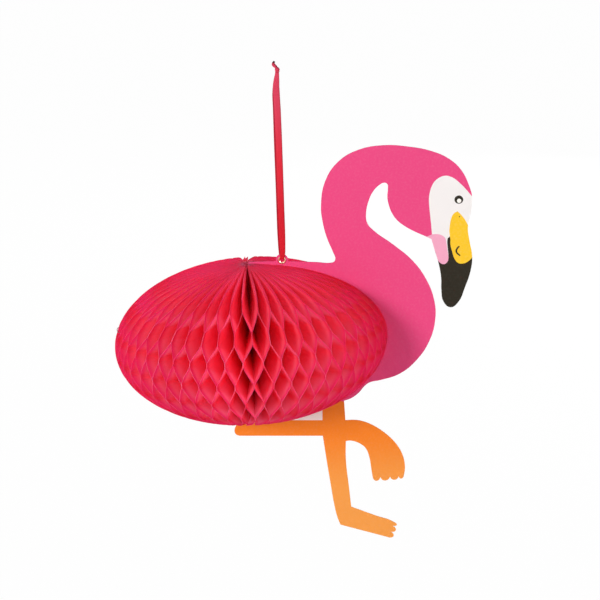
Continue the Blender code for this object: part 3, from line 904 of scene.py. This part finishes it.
def inkFinish(name, code, ink=card["ink"]):
    # The higher the ink, the more uneven it is
    finish, tree, shader = newFinish(name, srgb(code), card["inkRoughness"])
    shader.inputs["Specular IOR Level"].default_value = card["inkSpecular"]
    place = tree.nodes.new("ShaderNodeTexCoord").outputs["Object"]
    grain = noiseOn(tree, place, card["grainScale"], 3)
    cloud = noiseOn(tree, place, card["cloudScale"], 2)
    darker = tuple(card["cloudShade"] * c for c in srgb(code))
    shade = mixColour(tree, mapRange(tree, cloud, *card["cloudFade"], 0.0, ink), srgb(code), darker)
    shade = mixColour(tree, mapRange(tree, grain, *card["grainFade"], 0.0, ink), shade, card["speck"])
    tree.links.new(shade, shader.inputs["Base Color"])
    addBump(tree, shader, grain, *card["inkBump"])
    return finish


def orangeFinish():
    # The orange is deeper at the top of the legs and paler further down
    finish, tree, shader = newFinish("orangeLegs", srgb(card["orangeHigh"]), card["inkRoughness"])
    shader.inputs["Specular IOR Level"].default_value = card["inkSpecular"]
    place = tree.nodes.new("ShaderNodeTexCoord").outputs["Object"]
    parts = tree.nodes.new("ShaderNodeSeparateXYZ")
    tree.links.new(place, parts.inputs[0])
    high, low = (bodyCentre.z + height for height in card["legFade"])
    down = mapRange(tree, parts.outputs["Z"], high, low)
    shade = mixColour(tree, down, srgb(card["orangeHigh"]), srgb(card["orangeLow"]))
    grain = noiseOn(tree, place, card["grainScale"], 3)
    specks = mapRange(tree, grain, *card["grainFade"], 0.0, card["ink"])
    shade = mixColour(tree, specks, shade, card["legSpeck"])
    tree.links.new(shade, shader.inputs["Base Color"])
    addBump(tree, shader, grain, *card["inkBump"])
    return finish


def cardFinishes():
    return {
        "pinkBird": inkFinish("pinkBird", card["pink"]),
        "bareBoard": inkFinish("bareBoard", card["bare"]),
        "orangeLegs": orangeFinish(),
        "paleFace": inkFinish("paleFace", card["face"]),
        "paleCheek": inkFinish("paleCheek", card["cheek"], 0.04),
        "darkBill": inkFinish("darkBill", card["dark"], 0.008),
        "yellowBill": inkFinish("yellowBill", card["yellow"], 0.05),
        "eyeWhite": inkFinish("eyeWhite", card["eyeWhite"], 0.02),
        "cutBoard": inkFinish("cutBoard", card["cutEdge"], 0.1),
    }


def makeCard():
    finishes = cardFinishes()
    slots = list(finishes)
    loops = edgeLoops(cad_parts["flamingo_card"])
    fields = printFields()
    rings = [leftTurning(ring) for ring in loops[:2] + [inFrame(points) for _, points in fields]]
    flat, faces = [], []
    for ring in rings:
        faces.append(list(range(len(flat), len(flat) + len(ring))))
        flat += [Vector(point) for point in ring]
    points, _, triangles, _, _, sources = delaunay_2d_cdt(flat, [], faces, 1, 0.000001)
    work = bmesh.new()
    layers = {side: [work.verts.new((p.x, side * card["thickness"] / 2, p.y)) for p in points]
              for side in (-1, 1)}
    sides = {}
    for triangle, source in zip(triangles, sources):
        if 0 not in source or 1 in source:
            continue
        ink = slots.index(fields[max(source) - 2][0] if max(source) > 1 else "pinkBird")
        a, b, c = (points[k] for k in triangle)
        if (b - a).cross(c - a) < 0:
            triangle = triangle[::-1]
        work.faces.new([layers[-1][k] for k in triangle]).material_index = ink
        work.faces.new([layers[1][k] for k in reversed(triangle)]).material_index = ink
        for first, second in zip(triangle, triangle[1:] + triangle[:1]):
            if (second, first) in sides:
                del sides[(second, first)]
            else:
                sides[(first, second)] = True
    for first, second in sides:
        near, far = layers[-1], layers[1]
        wall = work.faces.new((near[second], near[first], far[first], far[second]))
        wall.material_index = slots.index("cutBoard")
    bmesh.ops.delete(work, geom=[vert for vert in work.verts if not vert.link_faces], context="VERTS")
    return link("printedCard", finishMesh("printedCard", work), *finishes.values())


cardPiece = makeCard()
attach(cardPiece, "root")
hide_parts("flamingo_card")
print("card made:", len(cardPiece.data.polygons), "faces")


# Eyelet and clip: the model's own pieces, given a finish by name, colour, roughness and the
# scale of its marks. Wear is what the marks do to any metal.

metals = {
    "eyelet": ("eyeletBrass", "DDB094", 0.24, 700),
    "rim_clip": ("clipWire", "B08088", 0.35, 900),
}
wear = {"smoothest": 0.8, "roughest": 1.5, "shade": 0.8, "fade": (0.3, 0.8), "bump": (0.08, 0.1 * mm)}


def metalFinish(name, code, roughness, scale):
    finish, tree, shader = newFinish(name, srgb(code), roughness)
    shader.inputs["Metallic"].default_value = 1.0
    place = tree.nodes.new("ShaderNodeTexCoord").outputs["Object"]
    marks = noiseOn(tree, place, scale, 3)
    limits = (roughness * wear["smoothest"], roughness * wear["roughest"])
    tree.links.new(mapRange(tree, marks, *wear["fade"], *limits), shader.inputs["Roughness"])
    tone = mixColour(tree, marks, srgb(code), tuple(wear["shade"] * c for c in srgb(code)))
    tree.links.new(tone, shader.inputs["Base Color"])
    addBump(tree, shader, marks, *wear["bump"])
    return finish


def refinish(node, finish):
    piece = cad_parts[node]
    piece.data.materials.clear()
    piece.data.materials.append(finish)


for node, look in metals.items():
    refinish(node, metalFinish(*look))
print("metal dressed")


# Room: a pale floor well below and plain soft light, most of it from the left front. Each lamp
# has its power, size and place.

room = {
    "floor": -1.0,
    "floorSize": 60.0,
    "floorWhite": 0.985,
    "world": 0.19,
    "aim": (0, 0, -0.27),
    "lamps": {
        "keyLamp": (150.0, 1.6, (-3.0, -4.0, 0.95)),
        "fillLamp": (19.0, 1.6, (0.9, -2.7, 0.2)),
        "backLamp": (55.0, 1.2, (1.0, 3.6, -0.35)),
    },
    "pathLength": 32,
}


def addRoom():
    world = bpy.data.worlds.new("paleRoom")
    world.use_nodes = True
    bpy.context.scene.world = world
    tree = world.node_tree
    lit = tree.nodes["Background"]
    lit.inputs["Color"].default_value = (1, 1, 1, 1)
    lit.inputs["Strength"].default_value = room["world"]
    seen = tree.nodes.new("ShaderNodeBackground")
    seen.inputs["Color"].default_value = (1, 1, 1, 1)
    mix = tree.nodes.new("ShaderNodeMixShader")
    tree.links.new(whiteRays(tree), mix.inputs[0])
    tree.links.new(lit.outputs[0], mix.inputs[1])
    tree.links.new(seen.outputs[0], mix.inputs[2])
    tree.links.new(mix.outputs[0], tree.nodes["World Output"].inputs["Surface"])
    half = room["floorSize"] / 2
    mesh = bpy.data.meshes.new("paleFloor")
    mesh.from_pydata([(-half, -half, 0), (half, -half, 0), (half, half, 0), (-half, half, 0)], [],
                     [(0, 1, 2, 3)])
    mesh.transform(Matrix.Translation((0, 0, room["floor"])))
    floor = link("paleFloor", mesh, floorFinish())


def whiteRays(tree):
    path = tree.nodes.new("ShaderNodeLightPath")
    seen = calc(tree, "MAXIMUM", path.outputs["Is Camera Ray"], path.outputs["Is Glossy Ray"])
    return calc(tree, "MAXIMUM", seen, path.outputs["Is Transmission Ray"])


def floorFinish():
    # White to the camera, and still a little darker in the object's shadow
    finish, tree, shader = newFinish("paleFloor", (0.9, 0.9, 0.9), 0.9)
    glow = tree.nodes.new("ShaderNodeEmission")
    glow.inputs["Strength"].default_value = 1.0
    mix = tree.nodes.new("ShaderNodeMixShader")
    tree.links.new(calc(tree, "MULTIPLY", whiteRays(tree), room["floorWhite"]), mix.inputs[0])
    tree.links.new(shader.outputs[0], mix.inputs[1])
    tree.links.new(glow.outputs[0], mix.inputs[2])
    tree.links.new(mix.outputs[0], tree.nodes["Material Output"].inputs["Surface"])
    return finish


def addLamp(name, power, size, place):
    data = bpy.data.lights.new(name, "AREA")
    data.shape = "DISK"
    data.size = size
    data.energy = power
    lamp = bpy.data.objects.new(name, data)
    bpy.context.scene.collection.objects.link(lamp)
    lamp.location = place
    lamp.rotation_euler = (Vector(room["aim"]) - Vector(place)).to_track_quat("-Z", "Y").to_euler()


addRoom()
for name, lamp in room["lamps"].items():
    addLamp(name, *lamp)
bpy.context.scene.view_settings.view_transform = "Standard"
paths = bpy.context.scene.cycles   # light crosses many sheets before it comes out
paths.max_bounces = room["pathLength"]
paths.transmission_bounces = room["pathLength"]
paths.diffuse_bounces = room["pathLength"] // 2
print("room lit")
